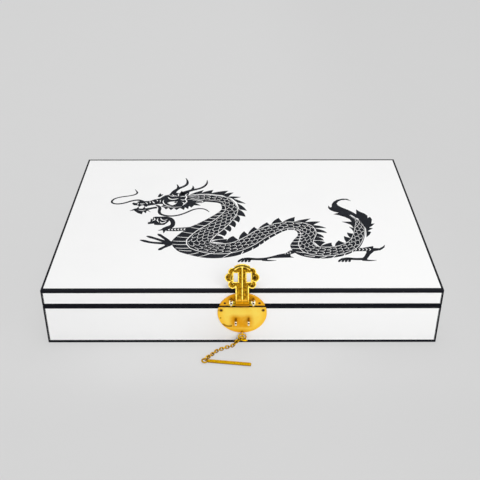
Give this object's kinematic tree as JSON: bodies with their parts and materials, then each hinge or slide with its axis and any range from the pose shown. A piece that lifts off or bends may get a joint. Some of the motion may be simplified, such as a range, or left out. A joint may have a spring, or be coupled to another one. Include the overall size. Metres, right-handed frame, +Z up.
{
  "type": "mahjong case with drawers",
  "caption": "Flat white lacquered case with black edging, a lift-up lid, a round brass clasp with hasp and chained lock pin, and lift-out drawers for tiles and counters.",
  "frame": {"origin": "centre of the case's underside, on the surface it stands on", "axes": "+Z up, -Y towards the front with the clasp, +X to the right as seen from the front"},
  "size_m": [0.36, 0.3054, 0.0804],
  "materials": {
    "white_lacquer": "white gloss lacquer on wood",
    "black_lacquer": "black gloss lacquer on wood strip",
    "polished_brass": "polished yellow brass",
    "satin_brass": "satin yellow brass with fine brush lines",
    "red_velvet": "dark red velvet on card",
    "red_felt": "dark red felt",
    "ribbon": "gold satin ribbon",
    "drawer_lacquer": "black satin lacquer on wood"
  },
  "bodies": {
    "base": {"base_back_wall": "white_lacquer", "base_bottom_edging": "black_lacquer", "base_corner_edging": "black_lacquer", "base_floor_felt": "red_felt", "base_floor_panel": "white_lacquer", "base_front_wall": "white_lacquer", "base_left_wall": "white_lacquer", "base_right_wall": "white_lacquer", "base_top_edging": "black_lacquer", "base_wall_lining": "red_velvet", "chain_eye": "polished_brass", "clasp_lower_nails": "polished_brass", "clasp_lower_plate": "satin_brass", "hinge_base_leaves": "polished_brass", "hinge_base_screws": "polished_brass", "hinge_pins": "polished_brass", "lock_eyes": "polished_brass"},
    "lid": {"clasp_upper_nails": "polished_brass", "clasp_upper_plate": "satin_brass", "hasp_eyes": "polished_brass", "hasp_rod": "polished_brass", "hinge_lid_leaves": "polished_brass", "hinge_lid_screws": "polished_brass", "lid_back_rail": "white_lacquer", "lid_bottom_edging": "black_lacquer", "lid_ceiling_lining": "red_velvet", "lid_corner_edging": "black_lacquer", "lid_front_rail": "white_lacquer", "lid_left_rail": "white_lacquer", "lid_rail_lining": "red_velvet", "lid_right_rail": "white_lacquer", "lid_top_edging": "black_lacquer", "lid_top_panel": "white_lacquer"},
    "hasp": {"hasp": "polished_brass"},
    "chain": {"chain_links": "polished_brass", "chain_ring": "polished_brass", "pin_ring": "polished_brass"},
    "lock_pin": {"lock_pin": "polished_brass"},
    "front_left_drawer": {"front_left_drawer_bottom": "drawer_lacquer", "front_left_drawer_felt": "red_felt", "front_left_drawer_ribbon": "ribbon", "front_left_drawer_sides": "drawer_lacquer"},
    "front_right_drawer": {"front_right_drawer_bottom": "drawer_lacquer", "front_right_drawer_felt": "red_felt", "front_right_drawer_ribbon": "ribbon", "front_right_drawer_sides": "drawer_lacquer"},
    "back_left_drawer": {"back_left_drawer_bottom": "drawer_lacquer", "back_left_drawer_felt": "red_felt", "back_left_drawer_ribbon": "ribbon", "back_left_drawer_sides": "drawer_lacquer"},
    "back_right_drawer": {"back_right_drawer_bottom": "drawer_lacquer", "back_right_drawer_felt": "red_felt", "back_right_drawer_ribbon": "ribbon", "back_right_drawer_sides": "drawer_lacquer"},
    "counter_drawer": {"counter_drawer_bottom": "drawer_lacquer", "counter_drawer_felt": "red_felt", "counter_drawer_partitions": "drawer_lacquer", "counter_drawer_ribbon": "ribbon", "counter_drawer_sides": "drawer_lacquer"}
  },
  "joints": [
    {"name": "lid_hinge", "type": "hinge", "parent": "base", "child": "lid", "pos_m": [0, 0.135, 0.0422], "axis": [-1, 0, 0], "range_deg": [0, 100]},
    {"name": "hasp_hinge", "type": "hinge", "parent": "lid", "child": "hasp", "pos_m": [0, -0.13735, 0.04965], "axis": [1, 0, 0], "range_deg": [0, 213.1]},
    {"name": "chain_swing", "type": "hinge", "parent": "base", "child": "chain", "pos_m": [0, -0.1358, 0.013], "axis": [0, 0, 1], "range_deg": [-15, 20]},
    {"name": "pin_swing", "type": "hinge", "parent": "chain", "child": "lock_pin", "pos_m": [-0.03371, -0.15993, 0.0017], "axis": [0, 0, 1], "range_deg": [-80, 20]},
    {"name": "front_left_drawer_lift", "type": "slide", "parent": "base", "child": "front_left_drawer", "axis": [0, 0, 1], "range_m": [0, 0.01]},
    {"name": "front_right_drawer_lift", "type": "slide", "parent": "base", "child": "front_right_drawer", "axis": [0, 0, 1], "range_m": [0, 0.01]},
    {"name": "back_left_drawer_lift", "type": "slide", "parent": "base", "child": "back_left_drawer", "axis": [0, 0, 1], "range_m": [0, 0.01]},
    {"name": "back_right_drawer_lift", "type": "slide", "parent": "base", "child": "back_right_drawer", "axis": [0, 0, 1], "range_m": [0, 0.01]},
    {"name": "counter_drawer_lift", "type": "slide", "parent": "base", "child": "counter_drawer", "axis": [0, 0, 1], "range_m": [0, 0.01]}
  ]
}
